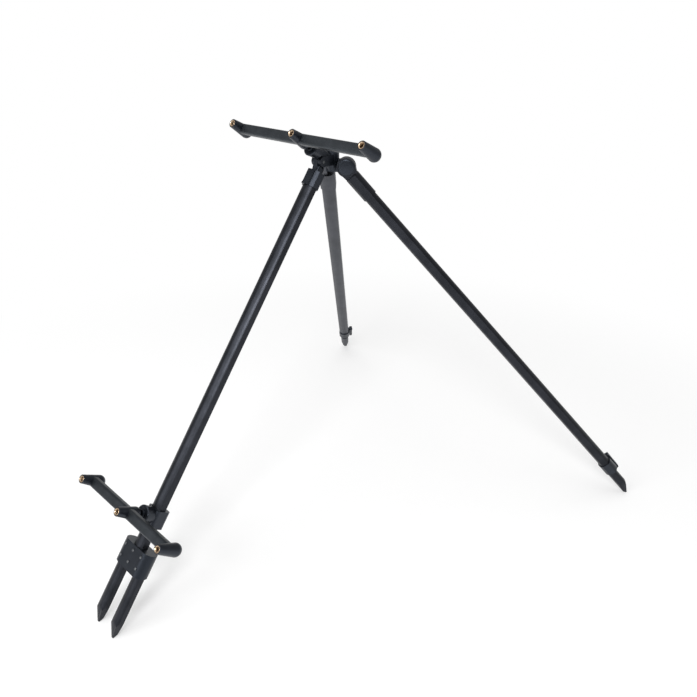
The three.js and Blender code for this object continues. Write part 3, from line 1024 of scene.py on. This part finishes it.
@dataclass
class SideLeg:
    """A telescopic side leg with its hinge, collar, lever and spike."""

    name: str
    place: Place
    nylon: FilledNylon
    metal: AnodisedAluminium
    mirrored: bool
    # The hinge pin's distance from the foot, and its height over the leg's axis
    length: float = 1007.7
    pivot_rise: float = 4.7
    section: Section = field(default_factory=lambda: Section(27.8, 24.8, 13.2))
    tube_end: float = 100.3
    # How far this leg's foot is drawn out in the photo
    foot_out: float = 0
    tube_top: float = 982.4
    tube_edge: float = 1.2
    socket_edge: float = 0.9
    clamp_edge: float = 0.6
    spike_edge: float = 0.7
    inner_edge: float = 0.3
    inner_steps: int = 2
    # The hinge cap sits in the disc's recess, with a stepped rim under its dome
    cap_face: float = 14.4
    cap_radius: float = 15.5
    cap_edge: float = 0.4
    cap_rim: float = 1.6
    cap_ledge: float = 0.5
    cap_rise: float = 2.4
    cap_steps: int = 10
    cap_tip: float = 0.3
    # The lever's corners lie past this length and half width from its pin
    lever_free: float = 37
    lever_half: float = 7
    lever_round: float = 4.5
    lever_steps: int = 6
    lever_edge: float = 0.9

    @property
    def axis(self) -> Place:
        """The leg's own axis, with its foot as the origin."""
        return self.place.moved(0, -self.pivot_rise, -self.length)

    def tube(self) -> None:
        """The outer tube."""
        piece = barrel(f"{self.name}_tube", self.section,
                       self.tube_end + self.foot_out, self.tube_top, self.tube_edge)
        finish_piece(piece, f"{self.name}_leg", f"{self.name}_leg_outer_tube",
                     self.metal, self.axis)

    def cap(self) -> None:
        """The domed cap over the hinge pin, with a stepped rim."""
        radius = self.cap_radius
        profile = [(radius - self.cap_edge, CLEARANCE),
                   (radius, CLEARANCE + self.cap_edge), (radius, self.cap_rim),
                   (radius - self.cap_ledge, self.cap_rim + self.cap_ledge)]
        for step in range(2, self.cap_steps + 1):
            angle = math.pi / 2 * step / self.cap_steps
            profile.append((max(radius * math.cos(angle), self.cap_tip),
                            self.cap_rim + self.cap_rise * math.sin(angle)))
        piece = turned(f"{self.name}_cap", profile)
        side = -1 if self.mirrored else 1
        spot = self.place.moved(side * self.cap_face, 0, 0)
        facing = Place(spot.origin, -spot.along * side, spot.out, spot.across * side)
        finish_piece(piece, f"{self.name}_leg", f"{self.name}_hinge_cap", self.nylon,
                     facing)

    def lever(self) -> None:
        """The clamp lever, with well rounded corners at its free end."""
        node = f"{self.name}_leg_lever"
        pivot = Vector(joint(f"{self.name}_lever_flip")["pos_m"])
        half = self.lever_half * MM

        def at_corner(first: Vector, second: Vector) -> bool:
            """Whether the edge runs through the plate at a corner of its free end.

            Args:
                first: the edge's one end.
                second: its other end.

            Returns:
                True at one of the two corners.
            """
            sides = [(end - pivot).dot(self.place.out) for end in (first, second)]
            reaches = [(pivot - end).dot(self.place.along) for end in (first, second)]
            return (min(reaches) > self.lever_free * MM
                    and (min(sides) > half or max(sides) < -half))

        piece = merged_copy(node, f"{node}_soft")
        with editing(piece, "EDGE"):
            pick_edges(piece, at_corner)
            bpy.ops.mesh.bevel(offset=self.lever_round * MM, segments=self.lever_steps,
                               affect="EDGES")
        soften(piece, self.lever_edge)
        finish_piece(piece, f"{self.name}_lever", node, self.nylon)

    def build(self, steel: DullSteel) -> None:
        """Build the leg's pieces and dress the ones that stay.

        Args:
            steel: the lever pin's finish.
        """
        leg, foot = f"{self.name}_leg", f"{self.name}_foot"
        self.tube()
        self.cap()
        soft_node(f"{leg}_socket", leg, self.metal, self.socket_edge)
        soft_node(f"{leg}_clamp", leg, self.nylon, self.clamp_edge)
        self.lever()
        soft_node(f"{leg}_spike", foot, self.metal, self.spike_edge)
        soft_node(f"{leg}_inner_tube", foot, self.metal, self.inner_edge,
                  self.inner_steps)
        keep_node(f"{leg}_bush", self.nylon)
        keep_node(f"{leg}_lever_pin", steel)


@dataclass
class RodBar:
    """A cross bar with three bosses, each with a threaded brass insert."""

    name: str
    body: str
    place: Place
    nylon: FilledNylon
    metal: AnodisedAluminium
    # From the middle boss to each side one
    spacing: float
    boss_length: float = 50
    boss_front: float = 8.3
    boss_back: float = 12.2
    boss_edge: float = 0.8
    # The mouth's rings, inwards and down as shares of its edge
    boss_rings: tuple[tuple[float, float], ...] = ((-0.08, 1), (0.3, 0.3), (1, 0))
    back_steps: int = 12
    insert_radius: float = 6.2
    insert_length: float = 14
    insert_proud: float = 0.5
    insert_edge: float = 0.4
    # The chamfer into the thread: how much wider than it, and how deep
    mouth_spread: float = 0.5
    mouth_depth: float = 0.7
    # The thread's inner and outer radius, its pitch and its turns
    thread_minor: float = 4.3
    thread_major: float = 4.7
    thread_pitch: float = 1.3
    thread_turns: int = 7
    # The tubes, their height over the bosses' backs, and their inset at both ends
    tall: float = 19.4
    deep: float = 14
    corner: float = 4
    level: float = 25
    inset: float = 3.5
    # The neck, the height of its lips, and how much slimmer its waist is
    neck_radius: float = 8
    neck_lip: float = 0.8
    neck_waist: float = 0.6

    def boss(self, side: str, across: float) -> None:
        """A tapered boss with a round back and a softened mouth.

        Args:
            side: left, middle or right.
            across: its distance from the middle, in millimetres.
        """
        profile = []
        for step in range(1, self.back_steps + 1):
            angle = math.pi / 2 * step / self.back_steps
            profile.append((self.boss_back * math.sin(angle),
                            self.boss_back * (1 - math.cos(angle))))
        top = self.boss_length
        bore = self.insert_radius + CLEARANCE
        profile += [(self.boss_front - self.boss_edge * inwards,
                     top - self.boss_edge * down) for inwards, down in self.boss_rings]
        profile += [(bore, top), (bore, top - self.insert_length - CLEARANCE)]
        piece = turned(f"{self.name}_boss_{side}", profile)
        finish_piece(piece, self.body, f"{self.name}_bar_boss_{side}", self.nylon,
                     self.place.moved(across, 0, 0))

    def insert(self, side: str, across: float) -> None:
        """A brass insert with a chamfered mouth and a cut thread.

        Args:
            side: left, middle or right.
            across: its distance from the middle, in millimetres.
        """
        top = self.boss_length + self.insert_proud
        low = self.boss_length - self.insert_length
        radius = self.insert_radius
        height = top - self.mouth_depth
        profile = [(radius, low), (radius, top - self.insert_edge),
                   (radius - self.insert_edge, top),
                   (self.thread_major + self.mouth_spread, top),
                   (self.thread_minor, height)]
        for _ in range(self.thread_turns):
            profile += [(self.thread_major, height - self.thread_pitch / 2),
                        (self.thread_minor, height - self.thread_pitch)]
            height -= self.thread_pitch
        spot = self.place.moved(across, 0, 0)
        brass = TurnedBrass(f"turned brass, {self.name} {side}", Slot.BRASS, spot)
        piece = turned(f"{self.name}_insert_{side}", profile)
        finish_piece(piece, self.body, f"{self.name}_bar_insert_{side}", brass, spot)

    def tube(self, side: str, sign: int) -> None:
        """A rounded rectangular tube between two bosses.

        Args:
            side: left or right.
            sign: 1 on the left, -1 on the right.
        """
        low, high = self.inset, self.spacing - self.inset
        piece = rounded_block(
            f"{self.name}_tube_{side}", Vector((self.tall, self.deep, high - low)),
            Vector((0, 0, (low + high) / 2)), self.corner)
        # The block's height turns to run along the bar, outwards from the middle
        turn = Matrix(((0, 0, sign), (1, 0, 0), (0, sign, 0))).to_4x4()
        set_location(piece, Matrix.Translation((0, 0, self.level * MM)) @ turn)
        finish_piece(piece, self.body, f"{self.name}_bar_tube_{side}", self.metal,
                     self.place)

    def neck(self) -> None:
        """The round neck behind the middle boss, flared at both ends."""
        radius = self.neck_radius
        waist = radius - self.neck_waist
        lip = self.neck_lip
        profile = [(radius, -NECK_LENGTH), (radius, lip - NECK_LENGTH),
                   (waist, 2 * lip - NECK_LENGTH), (waist, -2 * lip),
                   (radius, -lip), (radius, -CLEARANCE)]
        piece = turned(f"{self.name}_neck_ring", profile)
        finish_piece(piece, self.body, f"{self.name}_bar_neck", self.nylon, self.place)

    def build(self, steel: DullSteel) -> None:
        """Build the bar's pieces and dress its bolt.

        Args:
            steel: the bolt's finish.
        """
        for side, across in (("left", self.spacing), ("middle", 0),
                             ("right", -self.spacing)):
            self.boss(side, across)
            self.insert(side, across)
        self.tube("left", 1)
        self.tube("right", -1)
        self.neck()
        keep_node(f"{self.name}_bar_bolt", steel)


# The studio, with its sizes in metres

@dataclass(frozen=True)
class Lamp:
    """A square soft light: where it hangs, its side, and its power in watts."""

    name: str
    place: tuple[float, float, float]
    size: float
    power: float

    def build(self, aim: Vector) -> None:
        """Hang the lamp.

        Args:
            aim: the point it looks at.
        """
        data = bpy.data.lights.new(self.name, "AREA")
        data.size = self.size
        data.energy = self.power
        lamp = bpy.data.objects.new(self.name, data)
        bpy.context.scene.collection.objects.link(lamp)
        place = Vector(self.place)
        lamp.location = place
        lamp.rotation_euler = (aim - place).to_track_quat("-Z", "Y").to_euler()


@dataclass
class Studio:
    """The camera, the lights, the white world and the pale floor."""

    # The camera as solved from the photo, with its lens and sensor in millimetres
    eye: tuple[float, float, float] = (-0.845531, -0.840419, 1.0162)
    yaw: float = math.radians(-46.7)
    pitch: float = math.radians(27.8)
    lens: float = 33.05
    sensor: float = 36
    clip: float = 0.01
    world_colour: str = "ffffff"
    world_strength: float = 0.4
    floor_half: float = 6
    aim: tuple[float, float, float] = (0, 0, 0.35)
    lamps: tuple[Lamp, ...] = (
        Lamp("key", (-3.9, -2.4, 3.9), 1.7, 175),
        Lamp("fill", (-4.6, 0.9, 2.9), 3.2, 95),
        Lamp("top", (-0.4, 0.4, 5.4), 4.0, 65),
    )

    def camera(self) -> None:
        """The photograph's viewpoint."""
        data = bpy.data.cameras.new("camera")
        data.lens = self.lens
        data.sensor_width = self.sensor
        data.clip_start = self.clip
        camera = bpy.data.objects.new("camera", data)
        bpy.context.scene.collection.objects.link(camera)
        look = Vector((-math.sin(self.yaw) * math.cos(self.pitch),
                       math.cos(self.yaw) * math.cos(self.pitch),
                       -math.sin(self.pitch)))
        camera.location = self.eye
        camera.rotation_euler = look.to_track_quat("-Z", "Y").to_euler()
        bpy.context.scene.camera = camera

    def world(self) -> None:
        """White where the camera sees it, and softer as a light and in reflections."""
        world = bpy.data.worlds.new("studio")
        bpy.context.scene.world = world
        world.use_nodes = True
        tree = world.node_tree
        tree.nodes.clear()
        colour = to_linear(self.world_colour)
        soft = add_node(tree, "ShaderNodeBackground",
                        values={"Color": colour, "Strength": self.world_strength})
        white = add_node(tree, "ShaderNodeBackground",
                         values={"Color": colour, "Strength": 1.0})
        path = add_node(tree, "ShaderNodeLightPath")
        mixed = add_node(tree, "ShaderNodeMixShader",
                         links={0: path.outputs["Is Camera Ray"],
                                1: soft.outputs[0], 2: white.outputs[0]})
        add_node(tree, "ShaderNodeOutputWorld", links={"Surface": mixed.outputs[0]})

    def floor(self) -> None:
        """A wide plain floor under the feet."""
        deselect()
        bpy.ops.mesh.primitive_plane_add(size=2 * self.floor_half, location=(0, 0, 0))
        floor = bpy.context.object
        floor.name = "studio_floor"
        floor.data.materials.append(PaleFloor().build())

    def build(self) -> None:
        """Set the view transform, and build the camera, world, floor and lamps."""
        bpy.context.scene.view_settings.view_transform = "Standard"
        self.camera()
        self.world()
        self.floor()
        for lamp in self.lamps:
            lamp.build(Vector(self.aim))


def main() -> None:
    """Build the studio and the tripod's sub-assemblies in order."""
    Studio().build()
    long_place = leg_place("long_leg_fold", "bar_clamp_slide", 1)
    right_place = leg_place("right_leg_fold", "right_leg_slide", -1)
    rear_place = leg_place("rear_leg_fold", "rear_leg_slide", -1)
    front_bar = bar_place("front_bar_swivel")
    rear_bar = bar_place("rear_bar_swivel")

    nylon = FilledNylon("glass-filled nylon", Slot.MOULDED)
    steel = DullSteel("tumbled steel", Slot.STEEL)
    long_metal = AnodisedAluminium("anodised aluminium, long leg", Slot.ANODISED,
                                   long_place)
    right_metal = AnodisedAluminium("anodised aluminium, right leg", Slot.ANODISED,
                                    right_place)
    # The rear leg's metal is the same anodising drawn lighter: painted light
    rear_metal_painted_lighter = AnodisedAluminium("anodised aluminium, rear leg, painted lighter", Slot.ANODISED,
                                   rear_place, dark="494b50", light="54565c")
    # The bars' metal is the same anodising drawn lighter than the legs': painted light
    front_metal_painted_lighter = AnodisedAluminium("anodised aluminium, front bar, painted lighter", Slot.ANODISED,
                                    front_bar, dark="3d4145", light="4a4e53")
    low_metal_painted_lighter = AnodisedAluminium("anodised aluminium, rear bar, painted lighter", Slot.ANODISED,
                                  rear_bar, dark="393d41", light="45494e")

    Head(nylon).build(steel)
    LongLeg(long_place, nylon, long_metal).build(steel)
    BarClamp(nylon).build()
    SideLeg("right", right_place, nylon, right_metal, mirrored=False).build(steel)
    SideLeg("rear", rear_place, nylon, rear_metal_painted_lighter, mirrored=True,
            foot_out=10).build(steel)
    RodBar("front", "front_bar", front_bar, nylon, front_metal_painted_lighter,
           spacing=168.1).build(steel)
    RodBar("rear", "rear_bar", rear_bar, nylon, low_metal_painted_lighter,
           spacing=129.3).build(steel)

    deselect()


if __name__ == "__main__":
    main()
